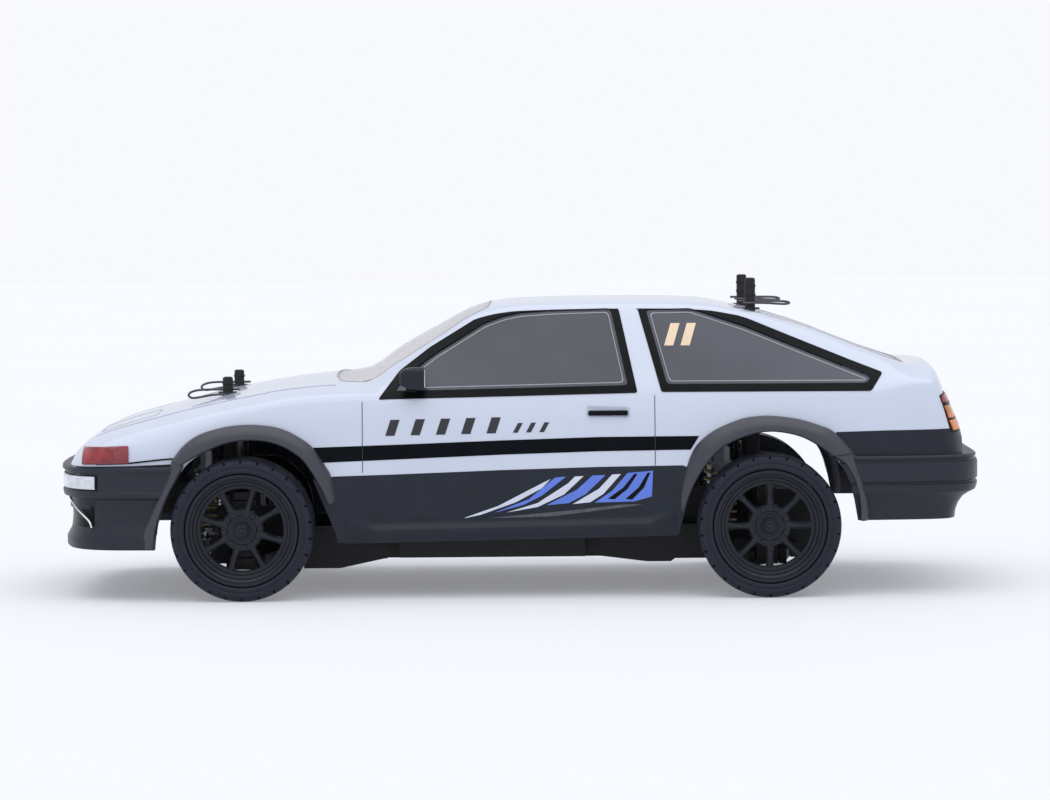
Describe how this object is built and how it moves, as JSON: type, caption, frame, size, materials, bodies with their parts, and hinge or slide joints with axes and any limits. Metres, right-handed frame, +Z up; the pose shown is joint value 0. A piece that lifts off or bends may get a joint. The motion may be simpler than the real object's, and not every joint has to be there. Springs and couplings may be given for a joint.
{
  "type": "rc drift car",
  "caption": "Radio-controlled drift car with lift-off hatchback shell on posts and clips, arch flares, sprung arms, steering front wheels and locked rear axle.",
  "frame": {"origin": "on the ground under the centre of the bounding box, midway along the length and on the car's centre plane", "axes": "+X forwards, +Y to the car's left, +Z up"},
  "size_m": [0.4264, 0.172, 0.1443],
  "materials": {
    "shell_white": "gloss white polycarbonate",
    "bumper_grey": "satin dark grey",
    "flare_grey": "satin grey",
    "tyre_rubber": "hard drift tyre, semi matt",
    "rim_black": "satin black",
    "steel": "bright",
    "alloy": "machined",
    "battery_wrap": "shrink wrap",
    "foam": "open foam",
    "nylon_black": "moulded nylon"
  },
  "bodies": {
    "chassis": {"chassis_tub": "nylon_black", "front_bulkhead": "nylon_black", "rear_gearbox": "nylon_black", "foam_bumper": "foam", "motor": "alloy", "battery_pack": "battery_wrap", "steering_servo": "nylon_black", "speed_controller": "alloy", "damper_body_front_left": "alloy", "damper_body_front_right": "alloy", "damper_body_rear_left": "alloy", "damper_body_rear_right": "alloy"},
    "shell": {"body_shell": "shell_white", "front_bumper": "bumper_grey", "rear_bumper": "bumper_grey", "front_flare_left": "flare_grey", "front_flare_right": "flare_grey", "rear_flare_left": "flare_grey", "rear_flare_right": "flare_grey", "body_post_front_left": "nylon_black", "body_post_front_right": "nylon_black", "body_post_rear_left": "nylon_black", "body_post_rear_right": "nylon_black"},
    "rack": {"steering_rack": "nylon_black"},
    "tie_rod_left": {"tie_rod_left": "steel"},
    "tie_rod_right": {"tie_rod_right": "steel"},
    "spur": {"spur_gear": "nylon_black"},
    "pinion": {"motor_pinion": "steel"},
    "clip_front_left": {"body_clip_front_left": "steel"},
    "clip_front_right": {"body_clip_front_right": "steel"},
    "clip_rear_left": {"body_clip_rear_left": "steel"},
    "clip_rear_right": {"body_clip_rear_right": "steel"},
    "arm_front_left": {"lower_arm_front_left": "nylon_black"},
    "block_left": {"steering_block_left": "nylon_black"},
    "link_front_left": {"upper_link_front_left": "steel"},
    "damper_shaft_front_left": {"damper_shaft_front_left": "steel"},
    "wheel_front_left": {"tyre_front_left": "tyre_rubber", "rim_front_left": "rim_black"},
    "knuckle_left": {"knuckle_left": "nylon_black"},
    "arm_front_right": {"lower_arm_front_right": "nylon_black"},
    "block_right": {"steering_block_right": "nylon_black"},
    "link_front_right": {"upper_link_front_right": "steel"},
    "damper_shaft_front_right": {"damper_shaft_front_right": "steel"},
    "wheel_front_right": {"tyre_front_right": "tyre_rubber", "rim_front_right": "rim_black"},
    "knuckle_right": {"knuckle_right": "nylon_black"},
    "arm_rear_left": {"lower_arm_rear_left": "nylon_black"},
    "hub_left": {"rear_hub_left": "nylon_black"},
    "link_rear_left": {"upper_link_rear_left": "steel"},
    "damper_shaft_rear_left": {"damper_shaft_rear_left": "steel"},
    "wheel_rear_left": {"tyre_rear_left": "tyre_rubber", "rim_rear_left": "rim_black"},
    "drive_shaft_left": {"drive_shaft_left": "steel"},
    "arm_rear_right": {"lower_arm_rear_right": "nylon_black"},
    "hub_right": {"rear_hub_right": "nylon_black"},
    "link_rear_right": {"upper_link_rear_right": "steel"},
    "damper_shaft_rear_right": {"damper_shaft_rear_right": "steel"},
    "wheel_rear_right": {"tyre_rear_right": "tyre_rubber", "rim_rear_right": "rim_black"},
    "drive_shaft_right": {"drive_shaft_right": "steel"}
  },
  "joints": [
    {"name": "shell_lift", "type": "slide", "parent": "chassis", "child": "shell", "axis": [0, 0, 1], "range_m": [0, 0.09]},
    {"name": "clip_pull_front_left", "type": "slide", "parent": "shell", "child": "clip_front_left", "axis": [1, 0, 0], "range_m": [0, 0.022]},
    {"name": "clip_pull_front_right", "type": "slide", "parent": "shell", "child": "clip_front_right", "axis": [1, 0, 0], "range_m": [0, 0.022]},
    {"name": "clip_pull_rear_left", "type": "slide", "parent": "shell", "child": "clip_rear_left", "axis": [-1, 0, 0], "range_m": [0, 0.022]},
    {"name": "clip_pull_rear_right", "type": "slide", "parent": "shell", "child": "clip_rear_right", "axis": [-1, 0, 0], "range_m": [0, 0.022]},
    {"name": "arm_front_left", "type": "hinge", "parent": "chassis", "child": "arm_front_left", "pos_m": [0.1255, 0.02, 0.016], "axis": [1, 0, 0], "range_deg": [-3, 6], "stiffness_Nm_per_rad": 1.2, "springref_deg": -5.73},
    {"name": "block_left", "type": "hinge", "parent": "arm_front_left", "child": "block_left", "pos_m": [0.1255, 0.057, 0.016], "axis": [1, 0, 0], "range_deg": [-6, 3]},
    {"name": "link_front_left", "type": "hinge", "parent": "chassis", "child": "link_front_left", "pos_m": [0.1255, 0.0238, 0.052], "axis": [1, 0, 0], "range_deg": [-3.36, 6.72]},
    {"name": "damper_front_left", "type": "slide", "parent": "chassis", "child": "damper_shaft_front_left", "axis": [0, 0.204, -0.979], "range_m": [-0.0028, 0.0014]},
    {"name": "steer_left", "type": "hinge", "parent": "block_left", "child": "knuckle_left", "pos_m": [0.1255, 0.066, 0.0325], "axis": [0, 0, 1], "range_deg": [-26, 26]},
    {"name": "wheel_front_left", "type": "hinge", "parent": "knuckle_left", "child": "wheel_front_left", "pos_m": [0.1255, 0.073, 0.0325], "axis": [0, 1, 0], "continuous": true},
    {"name": "arm_front_right", "type": "hinge", "parent": "chassis", "child": "arm_front_right", "pos_m": [0.1255, -0.02, 0.016], "axis": [-1, 0, 0], "range_deg": [-3, 6], "stiffness_Nm_per_rad": 1.2, "springref_deg": -5.73},
    {"name": "block_right", "type": "hinge", "parent": "arm_front_right", "child": "block_right", "pos_m": [0.1255, -0.057, 0.016], "axis": [-1, 0, 0], "range_deg": [-6, 3]},
    {"name": "link_front_right", "type": "hinge", "parent": "chassis", "child": "link_front_right", "pos_m": [0.1255, -0.0238, 0.052], "axis": [-1, 0, 0], "range_deg": [-3.36, 6.72]},
    {"name": "damper_front_right", "type": "slide", "parent": "chassis", "child": "damper_shaft_front_right", "axis": [0, -0.204, -0.979], "range_m": [-0.0028, 0.0014]},
    {"name": "steer_right", "type": "hinge", "parent": "block_right", "child": "knuckle_right", "pos_m": [0.1255, -0.066, 0.0325], "axis": [0, 0, 1], "range_deg": [-26, 26]},
    {"name": "wheel_front_right", "type": "hinge", "parent": "knuckle_right", "child": "wheel_front_right", "pos_m": [0.1255, -0.073, 0.0325], "axis": [0, 1, 0], "continuous": true},
    {"name": "arm_rear_left", "type": "hinge", "parent": "chassis", "child": "arm_rear_left", "pos_m": [-0.1145, 0.02, 0.016], "axis": [1, 0, 0], "range_deg": [-3, 6], "stiffness_Nm_per_rad": 1.2, "springref_deg": -5.73},
    {"name": "hub_left", "type": "hinge", "parent": "arm_rear_left", "child": "hub_left", "pos_m": [-0.1145, 0.057, 0.016], "axis": [1, 0, 0], "range_deg": [-6, 3]},
    {"name": "link_rear_left", "type": "hinge", "parent": "chassis", "child": "link_rear_left", "pos_m": [-0.1145, 0.0238, 0.052], "axis": [1, 0, 0], "range_deg": [-3.36, 6.72]},
    {"name": "damper_rear_left", "type": "slide", "parent": "chassis", "child": "damper_shaft_rear_left", "axis": [0, 0.204, -0.979], "range_m": [-0.0028, 0.0014]},
    {"name": "wheel_rear_left", "type": "hinge", "parent": "hub_left", "child": "wheel_rear_left", "pos_m": [-0.1145, 0.073, 0.0325], "axis": [0, 1, 0], "continuous": true},
    {"name": "drive_shaft_left", "type": "hinge", "parent": "chassis", "child": "drive_shaft_left", "pos_m": [-0.1145, 0.022, 0.0325], "axis": [1, 0, 0], "range_deg": [-3.75, 7.5]},
    {"name": "arm_rear_right", "type": "hinge", "parent": "chassis", "child": "arm_rear_right", "pos_m": [-0.1145, -0.02, 0.016], "axis": [-1, 0, 0], "range_deg": [-3, 6], "stiffness_Nm_per_rad": 1.2, "springref_deg": -5.73},
    {"name": "hub_right", "type": "hinge", "parent": "arm_rear_right", "child": "hub_right", "pos_m": [-0.1145, -0.057, 0.016], "axis": [-1, 0, 0], "range_deg": [-6, 3]},
    {"name": "link_rear_right", "type": "hinge", "parent": "chassis", "child": "link_rear_right", "pos_m": [-0.1145, -0.0238, 0.052], "axis": [-1, 0, 0], "range_deg": [-3.36, 6.72]},
    {"name": "damper_rear_right", "type": "slide", "parent": "chassis", "child": "damper_shaft_rear_right", "axis": [0, -0.204, -0.979], "range_m": [-0.0028, 0.0014]},
    {"name": "wheel_rear_right", "type": "hinge", "parent": "hub_right", "child": "wheel_rear_right", "pos_m": [-0.1145, -0.073, 0.0325], "axis": [0, 1, 0], "continuous": true},
    {"name": "drive_shaft_right", "type": "hinge", "parent": "chassis", "child": "drive_shaft_right", "pos_m": [-0.1145, -0.022, 0.0325], "axis": [-1, 0, 0], "range_deg": [-3.75, 7.5]},
    {"name": "rack", "type": "slide", "parent": "chassis", "child": "rack", "axis": [0, 1, 0], "range_m": [-0.0085, 0.0085]},
    {"name": "tie_rod_left", "type": "hinge", "parent": "rack", "child": "tie_rod_left", "pos_m": [0.1075, 0.0204, 0.0429], "axis": [0, 0, 1], "range_deg": [-5.6, 5.6]},
    {"name": "tie_rod_right", "type": "hinge", "parent": "rack", "child": "tie_rod_right", "pos_m": [0.1075, -0.0204, 0.0429], "axis": [0, 0, 1], "range_deg": [-5.6, 5.6]},
    {"name": "spur", "type": "hinge", "parent": "chassis", "child": "spur", "pos_m": [-0.0875, 0.026, 0.033], "axis": [0, 1, 0], "continuous": true},
    {"name": "pinion", "type": "hinge", "parent": "chassis", "child": "pinion", "pos_m": [-0.0682, 0.026, 0.035], "axis": [0, 1, 0], "continuous": true}
  ],
  "couplings": [
    {"joint": "block_left", "follows": "arm_front_left", "ratio": -1},
    {"joint": "link_front_left", "follows": "arm_front_left", "ratio": 1.11},
    {"joint": "damper_front_left", "follows": "arm_front_left", "m_per_rad": -0.0247},
    {"joint": "block_right", "follows": "arm_front_right", "ratio": -1},
    {"joint": "link_front_right", "follows": "arm_front_right", "ratio": 1.11},
    {"joint": "damper_front_right", "follows": "arm_front_right", "m_per_rad": -0.0247},
    {"joint": "hub_left", "follows": "arm_rear_left", "ratio": -1},
    {"joint": "link_rear_left", "follows": "arm_rear_left", "ratio": 1.11},
    {"joint": "damper_rear_left", "follows": "arm_rear_left", "m_per_rad": -0.0247},
    {"joint": "drive_shaft_left", "follows": "arm_rear_left", "ratio": 1.2},
    {"joint": "hub_right", "follows": "arm_rear_right", "ratio": -1},
    {"joint": "link_rear_right", "follows": "arm_rear_right", "ratio": 1.11},
    {"joint": "damper_rear_right", "follows": "arm_rear_right", "m_per_rad": -0.0247},
    {"joint": "drive_shaft_right", "follows": "arm_rear_right", "ratio": 1.2},
    {"joint": "steer_right", "follows": "steer_left", "ratio": 1},
    {"joint": "rack", "follows": "steer_left", "m_per_rad": -0.0173},
    {"joint": "tie_rod_left", "follows": "steer_left", "ratio": -0.21},
    {"joint": "tie_rod_right", "follows": "steer_left", "ratio": -0.21},
    {"joint": "wheel_rear_right", "follows": "wheel_rear_left", "ratio": 1},
    {"joint": "spur", "follows": "wheel_rear_left", "ratio": -2.5},
    {"joint": "pinion", "follows": "wheel_rear_left", "ratio": 7.5}
  ]
}
